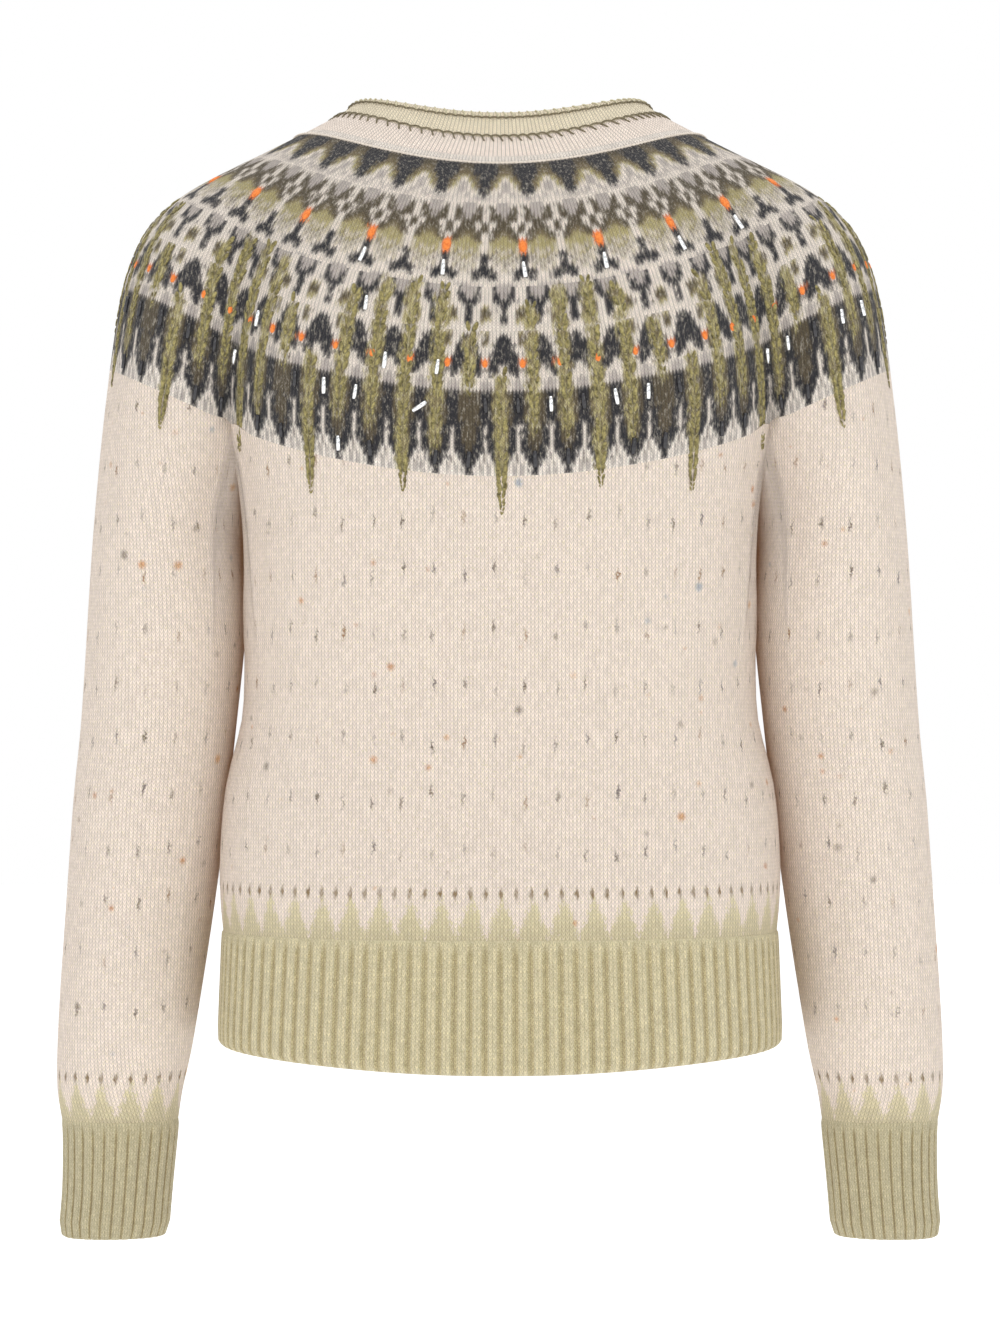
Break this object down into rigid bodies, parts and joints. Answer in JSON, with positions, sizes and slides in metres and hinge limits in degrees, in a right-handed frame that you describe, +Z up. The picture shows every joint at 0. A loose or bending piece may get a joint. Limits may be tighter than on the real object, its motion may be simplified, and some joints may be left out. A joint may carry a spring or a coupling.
{
  "type": "round-yoke knitted cardigan",
  "caption": "Knitted wool cardigan with a patterned round yoke, ribbed hem and cuffs and a buttoned front, filled out as if worn.",
  "frame": {"origin": "between the shoulders, at the height of the base of the neck, where a wearer holds the garment up", "axes": "+Z up, the wearer faces -Y, +X towards the wearer's left"},
  "size_m": [0.537, 0.2555, 0.6834],
  "materials": {
    "cream_wool": "fine brushed wool stocking stitch with flecks",
    "yoke_wool": "fine brushed wool, stranded colourwork",
    "green_wool": "fine brushed wool rib",
    "buttons": "polished horn-like resin"
  },
  "bodies": {
    "root": {"back": "cream_wool", "front_left": "cream_wool", "front_right": "cream_wool", "sleeve_left": "cream_wool", "sleeve_right": "cream_wool", "yoke": "yoke_wool", "neck_rib": "cream_wool", "neck_trim": "green_wool", "rib_back": "green_wool", "rib_front_left": "green_wool", "rib_front_right": "green_wool", "cuff_left": "green_wool", "cuff_right": "green_wool", "button_band_left": "green_wool", "button_band_right": "green_wool", "button_1": "buttons", "button_2": "buttons", "button_3": "buttons", "button_4": "buttons", "button_5": "buttons", "button_6": "buttons", "button_7": "buttons"}
  },
  "joints": []
}
